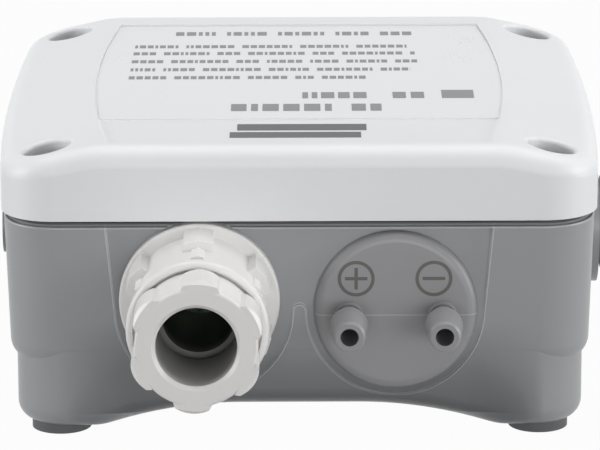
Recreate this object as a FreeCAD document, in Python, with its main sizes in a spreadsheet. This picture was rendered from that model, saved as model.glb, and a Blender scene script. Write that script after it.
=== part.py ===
import FreeCAD, Part
import Sketcher
import math
import os

# Differential pressure transmitter in a wall enclosure, in millimetres.
# X runs along the front wall, Y runs from front to back, Z runs up.
# The origin lies between the four feet, on the plane that they stand on.

doc = FreeCAD.newDocument("PressureTransmitter")
TINY = 0.01

# ---------------------------------------------------------------- dimensions

SIZES = {
    # Lid and its seam
    "lid_half_width": 42.4, "lid_half_depth": 40.0, "lid_corner": 7.6, "side_radius": 500.0,
    "lid_bottom": 31.6, "lid_top": 41.9, "lid_wall": 3.2, "lid_roof": 2.4,
    "lid_edge_round": 2.8, "shoulder_run": 15.4, "shoulder_bend": 14.0, "shoulder_fall": 0.2217,
    # Field on the lid and the film in it
    "field_overhang": 2.3, "field_front_inset": 3.6, "field_back_inset": 7.0,
    "field_radius": 245.0, "field_depth": 0.45, "film_front": -22.7, "film_margin": 0.3,
    "film_thickness": 0.2,
    # Corner screws of the lid
    "screw_side_inset": 7.7, "screw_end_inset": 6.6, "screw_recess_radius": 3.3,
    "screw_recess_round": 0.5, "lid_floor": 3.8, "screw_head_radius": 2.9,
    "screw_head_height": 2.3, "screw_shank_radius": 1.5, "screw_shank_length": 17.0,
    "screw_slot_width": 0.8, "screw_slot_reach": 1.8, "screw_slot_depth": 1.1,
    "lid_boss_radius": 4.4, "screw_boss_radius": 4.3,
    # Base walls
    "seam_gap": 0.4, "ledge_drop": 0.55, "rim_setback": 0.55, "seam_setback": 0.4,
    "wall_bottom": 10.0, "wall_draft": 0.65, "base_corner": 7.3,
    "wall_round": 3.0, "ledge_round": 0.3, "side_wall": 4.4, "end_wall": 3.6,
    "cavity_corner": 4.4, "floor_top": 7.2,
    # Legs and the arches between them
    "skirt_side_inset": 1.85, "skirt_end_inset": 1.0, "skirt_corner": 6.8, "leg_bottom": 1.2,
    "arch_top": 4.5, "arch_flat": 8.0, "leg_width": 13.4, "side_leg_width": 11.0,
    "leg_bend": 9.0, "skirt_round": 2.6, "foot_side_inset": 9.0, "foot_end_inset": 7.0,
    "foot_radius": 4.15, "foot_height": 2.2,
    # Seal groove
    "groove_inset": 1.5, "groove_width": 1.1, "groove_depth": 1.4, "seal_play": 0.05,
    # Shallow field on the front wall
    "recess_inset": 1.4, "recess_drop": 0.25, "saddle_radius": 0.9, "lobe_height": 18.5,
    "lobe_radius": 12.3, "lobe_lean": 0.092,
    # Cable gland
    "gland_across": 13.8, "gland_height": 20.1, "gland_flange_radius": 11.1,
    "gland_flange_thickness": 1.4, "gland_thread_radius": 8.0, "gland_tail": 9.5,
    "gland_bore": 5.0, "gland_seat_bore": 6.6, "gland_seat_start": 8.6, "gland_edge": 0.35,
    "collar_radius": 9.3, "collar_end": 13.2, "collar_lip_radius": 9.7, "collar_lip_end": 15.1,
    "collar_lip_round": 0.7, "lip_bore": 8.75, "lip_depth": 1.0, "spigot_radius": 7.4,
    "spigot_end": 18.5, "lug_width": 4.1,
    "lug_reach": 10.7, "lug_gable": 0.45, "lug_end": 8.2, "ridge_width": 1.8,
    "ridge_reach": 9.8, "ridge_end": 12.2,
    "nut_start": 14.6, "nut_end": 22.7, "nut_valley": 8.3, "nut_reach": 9.25,
    "nut_bore": 5.5, "nut_shoulder": 20.0, "nut_edge": 0.4, "nut_mouth": 0.5,
    "lobe_start": 17.0, "lobe_width": 4.6, "lobe_slope": 0.3, "lobe_crown": 3.8,
    "lobe_side": 0.7, "thread_play": 0.06, "seal_outer": 6.3, "seal_start": 10.4,
    "washer_radius": 10.0, "washer_inner": 8.3, "washer_thickness": 0.8, "washer_play": 0.1,
    "hole_play": 0.3, "locknut_flats": 10.6, "locknut_thickness": 4.0,
    # Port plate with its two barbs
    "plate_across": 13.25, "plate_height": 18.62, "plate_radius": 11.3,
    "plate_thickness": 1.6, "plate_round": 1.4, "plate_thread_radius": 8.9,
    "plate_tail": 7.4, "barb_spacing": 12.95, "barb_drop": 0.47, "barb_bore": 1.25,
    "barb_collar_radius": 2.0, "barb_collar_end": 3.1, "barb_neck_radius": 1.7,
    "barb_neck_end": 3.6, "barb_flare_radius": 1.85, "barb_ridge": 6.4, "barb_land": 0.8,
    "barb_ridge_radius": 2.6, "barb_tip": 12.0, "barb_tip_radius": 2.2, "barb_tip_edge": 0.3,
    "inner_barb_end": 13.5, "inner_barb_radius": 2.0,
    "plate_nut_radius": 11.0, "plate_nut_thickness": 3.4,
    # Blanking plug in the right wall and the closed pad on the left wall
    "plug_height": 20.0, "plug_pad_radius": 8.7, "plug_pad_stand": 1.0,
    "plug_head_radius": 6.7, "plug_head_thickness": 2.7, "plug_head_round": 1.2,
    "plug_thread_radius": 5.0, "plug_ring_radius": 6.2, "plug_ring_thickness": 0.6,
    "plug_nut_flats": 7.2, "plug_nut_thickness": 3.0, "plug_tail": 3.6, "pad_radius": 4.2,
    "closed_pad_stand": 0.8,
    # Wall fixing bosses
    "fixing_side_inset": 11.2, "fixing_along": 16.0, "fixing_radius": 2.2,
    "fixing_boss_radius": 4.2, "fixing_boss_height": 1.0,
    # Circuit board and what it carries
    "board_side_gap": 11.5, "board_front_gap": 9.4, "board_back_gap": 4.4,
    "board_bottom": 12.2, "board_thickness": 1.6, "post_side_inset": 4.0,
    "post_end_inset": 3.5, "post_radius": 3.0, "board_screw_radius": 1.25,
    "board_screw_length": 4.6, "board_pilot_length": 4.0, "board_head_radius": 2.6,
    "board_head_height": 1.6, "board_slot_reach": 1.8,
    "terminal_left": -24.6, "terminal_pitch": 5.08, "terminal_front": -17.5,
    "terminal_depth": 8.2, "terminal_height": 10.0, "terminal_bevel": 1.4,
    "terminal_bevel_drop": 2.0, "terminal_screw_radius": 1.5, "terminal_screw_low": 4.7,
    "terminal_screw_sink": 2.2, "terminal_slot": 0.6, "terminal_slot_depth": 0.8,
    "entry_half_width": 1.9, "entry_low": 1.2, "entry_high": 5.0, "entry_depth": 6.1,
    "clamp_half_width": 1.85, "clamp_half_depth": 1.9, "clamp_low": 1.25, "clamp_high": 4.6,
    "wire_half_width": 1.3, "wire_low": 1.8, "wire_high": 3.8,
    "sensor_half_width": 12.0, "sensor_front": -14.0, "sensor_depth": 16.0,
    "sensor_height": 10.6, "sensor_cap_radius": 6.4, "sensor_cap_height": 1.2,
    "sensor_port_radius": 1.9, "sensor_port_reach": 7.0, "sensor_port_sink": 4.0,
    "tube_outer": 2.7, "tube_inner": 2.1, "tube_start": 8.0, "tube_overlap": 1.0,
    "button_across": 10.0, "button_along": 14.0, "button_half": 3.0, "button_height": 3.5,
    "plunger_radius": 1.75, "plunger_low": 1.5, "plunger_high": 5.6, "plunger_travel": 0.4,
    "plunger_gap": 0.1, "plunger_round": 0.3,
    "header_across": -3.0, "header_along": 14.0, "header_pitch": 2.54, "header_height": 2.5,
    "pin_half": 0.32, "pin_height": 8.6, "jumper_height": 6.0, "jumper_gap": 0.08,
    "capacitor_across": -17.0, "capacitor_along": 4.0, "capacitor_radius": 4.0,
    "capacitor_height": 9.6, "capacitor_spacing": 11.0, "capacitor_edge": 0.4,
    "capacitor_bead": 0.4, "capacitor_bead_low": 1.2,
    "chip_across": 5.0, "chip_along": 25.0, "chip_half": 4.4, "chip_height": 1.5,
    "chip_gap": 0.1, "lead_pitch": 1.1, "lead_reach": 1.0, "lead_width": 0.42,
    "lead_thickness": 0.2, "lead_bend": 0.4, "lead_root": 0.8,
    "regulator_across": -6.0, "regulator_along": 2.5, "regulator_half": 3.2,
    "regulator_height": 2.3, "tab_inset": 0.4, "tab_thickness": 0.5, "tab_reach": 1.6,
    "lamp_across": 18.0, "lamp_along": 21.0, "lamp_radius": 1.5, "lamp_height": 3.6,
    "lamp_flange": 0.3, "lamp_flange_height": 0.8,
}

# Sizes that follow from the ones above, so that pieces that touch stay together
DERIVED = {
    "rim_top": "lid_bottom - seam_gap",
    "shoulder_height": "rim_top - ledge_drop",
    "cavity_half_width": "lid_half_width - side_wall",
    "cavity_half_depth": "lid_half_depth - end_wall",
    "skirt_half_width": "lid_half_width - skirt_side_inset",
    "skirt_half_depth": "lid_half_depth - skirt_end_inset",
    "leg_inner": "lid_half_width - leg_width",
    "side_leg_inner": "lid_half_depth - side_leg_width",
    "foot_across": "lid_half_width - foot_side_inset",
    "foot_along": "lid_half_depth - foot_end_inset",
    "shoulder_start": "lid_half_width - shoulder_run",
    "field_half_width": "shoulder_start + field_overhang",
    "field_front": "field_front_inset - lid_half_depth",
    "field_back": "lid_half_depth - field_back_inset",
    "screw_across": "lid_half_width - screw_side_inset",
    "screw_along": "lid_half_depth - screw_end_inset",
    "screw_seat": "lid_bottom + lid_floor",
    "recess_plane": "lid_half_depth - recess_inset",
    "recess_top": "shoulder_height - recess_drop",
    "lobe_across": "lobe_radius + saddle_radius",
    "plug_pad_reach": "lid_half_width + plug_pad_stand",
    "pad_reach": "lid_half_width + closed_pad_stand",
    "fixing_across": "lid_half_width - fixing_side_inset",
    "board_half_width": "cavity_half_width - board_side_gap",
    "board_front": "board_front_gap - cavity_half_depth",
    "board_back": "cavity_half_depth - board_back_gap",
    "board_top": "board_bottom + board_thickness",
    "post_across": "board_half_width - post_side_inset",
    "post_front": "board_front + post_end_inset",
    "post_back": "board_back - post_end_inset",
}

sheet = doc.addObject("Spreadsheet::Sheet", "Dims")
for row, (alias, content) in enumerate({**SIZES, **DERIVED}.items(), start=1):
    sheet.set(f"A{row}", alias)
    sheet.set(f"B{row}", f"={content}" if alias in DERIVED else str(content))
    sheet.setAlias(f"B{row}", alias)
doc.recompute()


def dims(text):
    """Turn an expression on size names into one on the sheet's cells."""
    words = []
    word = ""
    for letter in text + " ":
        if letter.isalnum() or letter in "_.":
            word += letter
            continue
        words.append("Dims." + word if word in SIZES or word in DERIVED else word)
        words.append(letter)
        word = ""
    return "".join(words).strip()


def value(text):
    """The number that an expression on size names stands for."""
    return float(sheet.evalExpression(dims(text)))


# ------------------------------------------------------------------ helpers

def new_body(label):
    body = doc.addObject("PartDesign::Body", label)
    body.Label = label
    return body


def place(body, x="0", y="0", z="0", axis=(0, 0, 1), angle=0, spin=0):
    """Spin a body about its own Z, turn it about axis and tie its place to the sheet."""
    own_spin = FreeCAD.Rotation(FreeCAD.Vector(0, 0, 1), spin)
    turn = FreeCAD.Rotation(FreeCAD.Vector(*axis), angle).multiply(own_spin)
    body.Placement = FreeCAD.Placement(FreeCAD.Vector(), turn)
    for letter, text in zip("xyz", (x, y, z)):
        body.setExpression("Placement.Base." + letter, dims(text))


def face_forward(body, across, height, spin=0):
    """Stand a body made along its own Z on the front wall, pointing out of it."""
    place(body, across, "-recess_plane", height, (1, 0, 0), 90, spin)


def sketch_on(body, name, plane, lift):
    sketch = body.newObject("Sketcher::SketchObject", name)
    origin_plane = next(o for o in body.Origin.OriginFeatures if o.Role == plane)
    sketch.AttachmentSupport = [(origin_plane, "")]
    sketch.MapMode = "FlatFace"
    sketch.setExpression("AttachmentOffset.Base.z", dims(lift))
    return sketch


def tie(sketch, kind, *where, to):
    """Add one dimension to a sketch and bind it to the sheet."""
    index = sketch.addConstraint(Sketcher.Constraint(kind, *where, value(to)))
    sketch.setExpression(f"Constraints[{index}]", dims(to))


def circle(x, y, radius):
    """Drawing of one circle."""
    def draw(sketch):
        centre = FreeCAD.Vector(value(x), value(y), 0)
        index = sketch.addGeometry(Part.Circle(centre, FreeCAD.Vector(0, 0, 1), value(radius)))
        tie(sketch, "DistanceX", -1, 1, index, 3, to=x)
        tie(sketch, "DistanceY", -1, 1, index, 3, to=y)
        tie(sketch, "Radius", index, to=radius)
    return draw


def several(*drawings):
    def draw(sketch):
        for drawing in drawings:
            drawing(sketch)
    return draw


def corners(x, y, make):
    """Four copies of a drawing, mirrored about both axes."""
    signs = [(a, b) for a in ("", "-") for b in ("", "-")]
    return several(*[make(f"{a}({x})", f"{b}({y})") for a, b in signs])


def outline(*steps):
    """Closed drawing through corners (x, y); (x, y, radius, turn) goes on along an arc.

    A turn of 1 runs anticlockwise, and -1 runs clockwise.
    """
    def draw(sketch):
        places = [FreeCAD.Vector(value(step[0]), value(step[1]), 0) for step in steps]
        ends = []
        for number, step in enumerate(steps):
            start, end = places[number], places[(number + 1) % len(steps)]
            if len(step) == 2:
                index = sketch.addGeometry(Part.LineSegment(start, end))
                ends.append((index, 1, 2))
                continue
            radius, turn = value(step[2]), step[3]
            chord = end - start
            rise = math.sqrt(max(radius ** 2 - chord.Length ** 2 / 4, 0))
            side = FreeCAD.Vector(-chord.y, chord.x, 0).normalize() * turn
            centre = (start + end) / 2 + side * rise
            first, last = (start, end) if turn > 0 else (end, start)
            angles = [math.atan2(p.y - centre.y, p.x - centre.x) for p in (first, last)]
            ring = Part.Circle(centre, FreeCAD.Vector(0, 0, 1), radius)
            index = sketch.addGeometry(Part.ArcOfCircle(ring, *angles))
            ends.append((index, 1, 2) if turn > 0 else (index, 2, 1))
        for number, (index, begin, finish) in enumerate(ends):
            after, after_begin, _ = ends[(number + 1) % len(ends)]
            sketch.addConstraint(
                Sketcher.Constraint("Coincident", index, finish, after, after_begin))
            tie(sketch, "DistanceX", -1, 1, index, begin, to=steps[number][0])
            tie(sketch, "DistanceY", -1, 1, index, begin, to=steps[number][1])
            if len(steps[number]) == 4:
                tie(sketch, "Radius", index, to=steps[number][2])
    return draw


def rectangle(x_low, y_low, x_high, y_high):
    return outline((x_low, y_low), (x_high, y_low), (x_high, y_high), (x_low, y_high))


def plan(half_width, half_depth, corner, side="side_radius"):
    """Plan of the enclosure: straight front and back, bowed sides, round corners."""
    middle = f"({half_width} - {side})"
    rise = f"({half_depth} - ({corner}))"
    reach = f"sqrt(({side} - ({corner})) ^ 2 - {rise} ^ 2)"
    centre = f"({middle} + {reach})"
    touch_x = f"({middle} + {reach} * {side} / ({side} - ({corner})))"
    touch_y = f"({rise} * {side} / ({side} - ({corner})))"
    return outline(
        (f"-{centre}", f"-({half_depth})"),
        (centre, f"-({half_depth})", corner, 1), (touch_x, f"-{touch_y}", side, 1),
        (touch_x, touch_y, corner, 1), (centre, half_depth),
        (f"-{centre}", half_depth, corner, 1), (f"-{touch_x}", touch_y, side, 1),
        (f"-{touch_x}", f"-{touch_y}", corner, 1))


def pad(body, name, low, high, drawing, plane="XY_Plane"):
    """Fill a drawing from one level of its plane's normal up to another."""
    return extrude(body, "PartDesign::Pad", name, low, high, drawing, plane, False)


def pocket(body, name, low, high, drawing, plane="XY_Plane"):
    """Cut a drawing out, from one level of its plane's normal up to another."""
    return extrude(body, "PartDesign::Pocket", name, low, high, drawing, plane, True)


def extrude(body, kind, name, low, high, drawing, plane, reverse):
    sketch = sketch_on(body, name + "_sketch", plane, low)
    drawing(sketch)
    feature = body.newObject(kind, name)
    feature.Profile = sketch
    feature.setExpression("Length", dims(f"({high}) - ({low})"))
    feature.Reversed = reverse
    sketch.Visibility = False
    doc.recompute()
    return feature


def loft(body, name, low, low_drawing, high, high_drawing):
    """Solid with straight sides from one drawing up to another."""
    lower = sketch_on(body, name + "_lower", "XY_Plane", low)
    low_drawing(lower)
    upper = sketch_on(body, name + "_upper", "XY_Plane", high)
    high_drawing(upper)
    feature = body.newObject("PartDesign::AdditiveLoft", name)
    feature.Profile = lower
    feature.Sections = [upper]
    feature.Ruled = True
    doc.recompute()
    return feature


def turned(body, name, drawing, kind="PartDesign::Revolution"):
    """Turn a drawing in the XZ plane about the body's own Z axis."""
    sketch = sketch_on(body, name + "_sketch", "XZ_Plane", "0")
    drawing(sketch)
    feature = body.newObject(kind, name)
    feature.Profile = sketch
    feature.ReferenceAxis = (sketch, ["V_Axis"])
    feature.Angle = 360
    doc.recompute()
    return feature


def repeat(body, feature, count, name):
    """Repeat a feature round the body's own Z axis."""
    pattern = body.newObject("PartDesign::PolarPattern", name)
    pattern.Originals = [feature]
    axis = next(o for o in body.Origin.OriginFeatures if o.Role == "Z_Axis")
    pattern.Axis = (axis, [""])
    pattern.Angle = 360
    pattern.Occurrences = count
    body.Tip = pattern
    doc.recompute()
    return pattern


def round_edges(body, name, radius, test, kind="PartDesign::Fillet"):
    """Round the edges of the body's last feature that pass a test on their middle."""
    base = body.Tip
    names = []
    for number, edge in enumerate(base.Shape.Edges, start=1):
        middle = edge.valueAt((edge.FirstParameter + edge.LastParameter) / 2)
        if test(edge, middle):
            names.append(f"Edge{number}")
    feature = body.newObject(kind, name)
    feature.Base = (base, names)
    feature.setExpression("Radius" if kind.endswith("Fillet") else "Size", dims(radius))
    doc.recompute()
    return feature


def at_level(text):
    """Test for edges that lie wholly on one level of the body's own Z."""
    def test(edge, middle):
        box = edge.BoundBox
        return abs(box.ZMin - value(text)) < TINY and abs(box.ZMax - value(text)) < TINY
    return test


# ------------------------------------------------------------- base housing

def arch(inner, top, low):
    """Opening between two legs: a flat crown that bends down to each leg."""
    run = f"({inner} - arch_flat)"
    drop = f"({top} - {low})"
    lean = f"(2 * atan({drop} / {run}))"
    long_bend = f"({run} / sin({lean}) - leg_bend)"
    bend_x = f"({inner} - leg_bend * sin({lean}))"
    bend_y = f"({low} + leg_bend * (1 - cos({lean})))"
    below = f"({low} - 1)"
    return outline(
        (f"-({inner})", below), (inner, below),
        (inner, low, "leg_bend", -1), (bend_x, bend_y, long_bend, 1),
        ("arch_flat", top), ("-arch_flat", top, long_bend, 1),
        (f"-{bend_x}", bend_y, "leg_bend", -1), (f"-({inner})", low))


def ring_plan(inset_from, inset_to):
    """Two plans inside each other, as far in from the base's upper edge as given."""
    half_width = "lid_half_width - seam_setback - "
    half_depth = "lid_half_depth - seam_setback - "
    return several(*[
        plan(f"({half_width}{inset})", f"({half_depth}{inset})", f"(base_corner - {inset})")
        for inset in (inset_from, inset_to)])


def front_field():
    """Field round the gland and the port plate: two round lobes that widen upwards."""
    cos_lean, sin_lean = "cos(atan(lobe_lean))", "sin(atan(lobe_lean))"
    side = f"(lobe_across + lobe_radius * {cos_lean})"
    low = f"(lobe_height - lobe_radius * {sin_lean})"
    top_side = f"({side} + lobe_lean * (recess_top - {low}))"
    bottom = "(lobe_height - lobe_radius)"
    return outline(
        (f"-{top_side}", "recess_top"), (f"-{side}", low, "lobe_radius", 1),
        ("-lobe_across", bottom, "lobe_radius", 1),
        ("-saddle_radius", "lobe_height", "saddle_radius", -1),
        ("0", "lobe_height + saddle_radius", "saddle_radius", -1),
        ("saddle_radius", "lobe_height", "lobe_radius", 1),
        ("lobe_across", bottom, "lobe_radius", 1), (side, low), (top_side, "recess_top"))


def posts(radius):
    """Drawing of a circle on each of the board's four posts."""
    return several(*[circle(x, y, radius) for x in ("post_across", "-post_across")
                     for y in ("post_front", "post_back")])


def make_base():
    body = new_body("base_housing")
    head_width, head_depth = "(lid_half_width - seam_setback)", "(lid_half_depth - seam_setback)"
    walls = pad(body, "walls", "wall_bottom", "shoulder_height",
                plan(f"({head_width} - wall_draft)", f"({head_depth} - wall_draft)",
                     "(base_corner - wall_draft)"))
    walls.setExpression("TaperAngle", dims(
        "atan(wall_draft / (shoulder_height - wall_bottom))"))
    doc.recompute()
    round_edges(body, "wall_rounding", "wall_round",
                lambda edge, middle: edge.BoundBox.ZMax < value("wall_bottom") + TINY)
    round_edges(body, "ledge_rounding", "ledge_round",
                lambda edge, middle: edge.BoundBox.ZMin > value("shoulder_height") - TINY)
    pad(body, "skirt", "leg_bottom", "wall_bottom + wall_round",
        plan("skirt_half_width", "skirt_half_depth", "skirt_corner"))
    pocket(body, "front_arch", "-lid_half_depth", "lid_half_depth",
           arch("leg_inner", "arch_top", "leg_bottom"), "XZ_Plane")
    pocket(body, "side_arch", "-lid_half_width", "lid_half_width",
           arch("side_leg_inner", "arch_top", "leg_bottom"), "YZ_Plane")

    def bottom_edge(edge, middle):
        beyond_side = abs(middle.x) > value("skirt_half_width - skirt_round")
        beyond_end = abs(middle.y) > value("skirt_half_depth - skirt_round")
        return (beyond_side or beyond_end) and edge.BoundBox.ZMax < value("arch_top") + TINY
    round_edges(body, "skirt_rounding", "skirt_round", bottom_edge)

    pad(body, "rim", "shoulder_height", "rim_top",
        plan(f"({head_width} - rim_setback)", f"({head_depth} - rim_setback)",
             "(base_corner - rim_setback)"))
    pad(body, "plug_pad", "cavity_half_width", "plug_pad_reach",
        circle("0", "plug_height", "plug_pad_radius"), "YZ_Plane")
    pad(body, "closed_pad", "-pad_reach", "-cavity_half_width",
        circle("0", "plug_height", "pad_radius"), "YZ_Plane")
    pocket(body, "front_field", "recess_plane", "lid_half_depth", front_field(), "XZ_Plane")
    pocket(body, "flange_clearance", "recess_plane", "lid_half_depth",
           circle("-gland_across", "gland_height", "gland_flange_radius + hole_play"),
           "XZ_Plane")
    pocket(body, "cavity", "floor_top", "rim_top",
           plan("cavity_half_width", "cavity_half_depth", "cavity_corner"))
    pad(body, "screw_bosses", "floor_top", "rim_top",
        corners("screw_across", "screw_along",
                lambda x, y: circle(x, y, "screw_boss_radius")))
    pad(body, "board_posts", "floor_top", "board_bottom", posts("post_radius"))
    pad(body, "fixing_bosses", "0", "floor_top + fixing_boss_height",
        corners("fixing_across", "fixing_along",
                lambda x, y: circle(x, y, "fixing_boss_radius")))
    pocket(body, "seal_groove", "rim_top - groove_depth", "rim_top",
           ring_plan("groove_inset", "(groove_inset + groove_width)"))
    pocket(body, "gland_hole", "cavity_half_depth - end_wall", "recess_plane",
           circle("-gland_across", "gland_height", "gland_thread_radius + hole_play"),
           "XZ_Plane")
    pocket(body, "plate_hole", "cavity_half_depth - end_wall", "recess_plane",
           circle("plate_across", "plate_height", "plate_thread_radius + hole_play"),
           "XZ_Plane")
    pocket(body, "plug_hole", "cavity_half_width - side_wall", "plug_pad_reach",
           circle("0", "plug_height", "plug_thread_radius + hole_play"), "YZ_Plane")
    pocket(body, "screw_pilots", "screw_seat - screw_shank_length - hole_play", "rim_top",
           corners("screw_across", "screw_along",
                   lambda x, y: circle(x, y, "screw_shank_radius + seal_play")))
    pocket(body, "board_pilots", "board_bottom - board_pilot_length", "board_bottom",
           posts("board_screw_radius + seal_play"))
    pocket(body, "fixing_holes", "0", "floor_top + fixing_boss_height",
           corners("fixing_across", "fixing_along",
                   lambda x, y: circle(x, y, "fixing_radius")))
    pocket(body, "foot_seats", "0", "foot_height",
           corners("foot_across", "foot_along",
                   lambda x, y: circle(x, y, "foot_radius + seal_play")))
    return body


def make_foot(name, x, y):
    body = new_body(name)
    pad(body, "pad", "0", "foot_height", circle(x, y, "foot_radius"))
    return body


# ----------------------------------------------------------------------- lid

KNEE = "(shoulder_start + shoulder_bend * sin(atan(shoulder_fall)))"
KNEE_TOP = "(lid_top - shoulder_bend * (1 - cos(atan(shoulder_fall))))"


def shoulder_at(x):
    """Height of the sloping shoulder at a distance from the middle."""
    return f"({KNEE_TOP} - shoulder_fall * ({x} - {KNEE}))"


def field_outline(margin, front):
    """Field on the lid, less a margin at its sides and back, from a front line on."""
    side, back = f"(field_half_width - {margin})", f"(field_back - {margin})"

    def x_at(y):
        return f"({side} - field_radius + sqrt(field_radius ^ 2 - ({y}) ^ 2))"
    front_x, back_x = x_at(front), x_at(back)
    return outline(
        (f"-{front_x}", front), (front_x, front, "field_radius", 1), (back_x, back),
        (f"-{back_x}", back, "field_radius", 1))


def shoulder_cut():
    """Space above the sloping shoulders, both sides, seen along the enclosure."""
    far = "(lid_half_width + lid_wall)"
    high = "(lid_top + lid_roof)"

    def side(sign, turn):
        return outline(
            (f"{sign}shoulder_start", "lid_top", "shoulder_bend", -turn),
            (f"{sign}{KNEE}", KNEE_TOP), (f"{sign}{far}", shoulder_at(far)),
            (f"{sign}{far}", high), (f"{sign}shoulder_start", high))
    return several(side("", 1), side("-", -1))


def make_lid():
    body = new_body("lid")
    pad(body, "shell", "lid_bottom", "lid_top",
        plan("lid_half_width", "lid_half_depth", "lid_corner"))
    pocket(body, "shoulders", "-lid_half_depth", "lid_half_depth", shoulder_cut(), "XZ_Plane")

    def top_edge(edge, middle):
        on_side = abs(middle.x) > value("lid_half_width - lid_edge_round")
        on_end = abs(middle.y) > value("lid_half_depth - lid_edge_round")
        high = edge.BoundBox.ZMin > value(shoulder_at("lid_half_width")) - TINY
        return high and (on_side or on_end)
    round_edges(body, "edge_rounding", "lid_edge_round", top_edge)
    pocket(body, "field", "lid_top - field_depth", "lid_top",
           field_outline("0", "field_front"))
    inside_top = f"({shoulder_at('lid_half_width')} - lid_roof)"
    pocket(body, "inside", "lid_bottom", inside_top,
           plan("(lid_half_width - lid_wall)", "(lid_half_depth - lid_wall)",
                "(lid_corner - lid_wall)"))
    crown_depth = "(lid_half_depth - lid_wall - lid_edge_round)"
    pocket(body, "inside_crown", inside_top, "lid_top - field_depth - lid_roof",
           rectangle("-shoulder_start", f"-{crown_depth}", "shoulder_start", crown_depth))
    pad(body, "bosses", "lid_bottom", f"{inside_top} + seal_play",
        corners("screw_across", "screw_along", lambda x, y: circle(x, y, "lid_boss_radius")))
    pocket(body, "screw_recesses", "screw_seat", "lid_top",
           corners("screw_across", "screw_along",
                   lambda x, y: circle(x, y, "screw_recess_radius")))

    def mouth(edge, middle):
        box = edge.BoundBox
        across = value("2 * screw_recess_radius")
        return box.ZMin > value("screw_seat") + TINY and abs(box.YLength - across) < TINY
    low_side = shoulder_at("(screw_across + screw_recess_radius)")
    round_edges(body, "mouth_rounding",
                f"min(screw_recess_round; ({low_side} - screw_seat) / 2)", mouth)
    pocket(body, "screw_holes", "lid_bottom", "screw_seat",
           corners("screw_across", "screw_along",
                   lambda x, y: circle(x, y, "screw_shank_radius + hole_play")))
    return body


def make_film():
    body = new_body("label_film")
    pad(body, "film", "lid_top - field_depth", "lid_top - field_depth + film_thickness",
        field_outline("film_margin", "film_front"))
    return body


def make_gasket():
    body = new_body("lid_gasket")
    pad(body, "ring", "rim_top - groove_depth", "lid_bottom",
        ring_plan("(groove_inset + seal_play)", "(groove_inset + groove_width - seal_play)"))
    return body


def make_lid_screws():
    body = new_body("lid_screws")
    pad(body, "shanks", "screw_seat - screw_shank_length", "screw_seat",
        corners("screw_across", "screw_along",
                lambda x, y: circle(x, y, "screw_shank_radius")))
    pad(body, "heads", "screw_seat", "screw_seat + screw_head_height",
        corners("screw_across", "screw_along",
                lambda x, y: circle(x, y, "screw_head_radius")))
    top = "screw_seat + screw_head_height"

    def cross(x, y):
        half, reach = "screw_slot_width / 2", "screw_slot_reach"
        near_x, far_x = f"{x} - {half}", f"{x} + {half}"
        near_y, far_y = f"{y} - {half}", f"{y} + {half}"
        return outline(
            (f"{x} - {reach}", near_y), (near_x, near_y), (near_x, f"{y} - {reach}"),
            (far_x, f"{y} - {reach}"), (far_x, near_y), (f"{x} + {reach}", near_y),
            (f"{x} + {reach}", far_y), (far_x, far_y), (far_x, f"{y} + {reach}"),
            (near_x, f"{y} + {reach}"), (near_x, far_y), (f"{x} - {reach}", far_y))
    pocket(body, "cross_slots", f"{top} - screw_slot_depth", top,
           corners("screw_across", "screw_along", cross))
    return body


# --------------------------------------------------------------- cable gland

NUT_SPIN = -4


def gabled(half, low, side, peak):
    """Outline of a rib seen along the gland: straight sides under a low gable."""
    return outline((f"-({half})", low), (half, low), (half, side), ("0", peak),
                   (f"-({half})", side))


def make_gland_body():
    body = new_body("gland_body")
    washer_hole, washer_rim = "(washer_inner - washer_play)", "(washer_radius + washer_play)"
    turned(body, "turned", outline(
        ("gland_bore", "-gland_tail"), ("gland_thread_radius", "-gland_tail"),
        ("gland_thread_radius", "0"), (washer_hole, "0"), (washer_hole, "washer_thickness"),
        (washer_rim, "washer_thickness"), (washer_rim, "0"),
        ("gland_flange_radius", "0"),
        ("gland_flange_radius", "gland_flange_thickness - gland_edge", "gland_edge", 1),
        ("gland_flange_radius - gland_edge", "gland_flange_thickness"),
        ("collar_radius", "gland_flange_thickness"), ("collar_radius", "collar_end"),
        ("collar_lip_radius", "collar_end + gland_edge"),
        ("collar_lip_radius", "collar_lip_end - collar_lip_round", "collar_lip_round", 1),
        ("collar_lip_radius - collar_lip_round", "collar_lip_end"),
        ("lip_bore", "collar_lip_end"), ("lip_bore", "collar_lip_end - lip_depth"),
        ("spigot_radius", "collar_lip_end - lip_depth"), ("spigot_radius", "spigot_end"),
        ("gland_seat_bore", "spigot_end"), ("gland_seat_bore", "gland_seat_start"),
        ("gland_bore", "gland_seat_start")))
    lug = pad(body, "lug", "gland_flange_thickness - gland_edge", "lug_end", gabled(
        "lug_width / 2", "gland_thread_radius", "lug_reach - lug_gable", "lug_reach"))
    repeat(body, lug, 6, "lugs")
    ridge = pad(body, "ridge", "lug_end - gland_edge", "ridge_end", gabled(
        "ridge_width / 2", "gland_thread_radius", "ridge_reach - gland_edge", "ridge_reach"))
    repeat(body, ridge, 6, "ridges")
    face_forward(body, "-gland_across", "gland_height")
    return body


def make_gland_washer():
    body = new_body("gland_washer")
    pad(body, "ring", "0", "washer_thickness",
        several(circle("0", "0", "washer_radius"), circle("0", "0", "washer_inner")))
    face_forward(body, "-gland_across", "gland_height")
    return body


def hexagon(flats):
    """Hexagon with a flat at each side, given half its width over the flats."""
    half_side = f"({flats} * tan(30))"
    reach = f"({flats} / cos(30))"
    return outline(
        (flats, f"-{half_side}"), (flats, half_side), ("0", reach),
        (f"-{flats}", half_side), (f"-{flats}", f"-{half_side}"), ("0", f"-{reach}"))


def make_gland_locknut():
    body = new_body("gland_locknut")
    wall = "(cavity_half_depth - recess_plane)"
    pad(body, "nut", f"{wall} - locknut_thickness", wall,
        several(hexagon("locknut_flats"), circle("0", "0", "gland_thread_radius + seal_play")))
    face_forward(body, "-gland_across", "gland_height")
    return body


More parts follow.
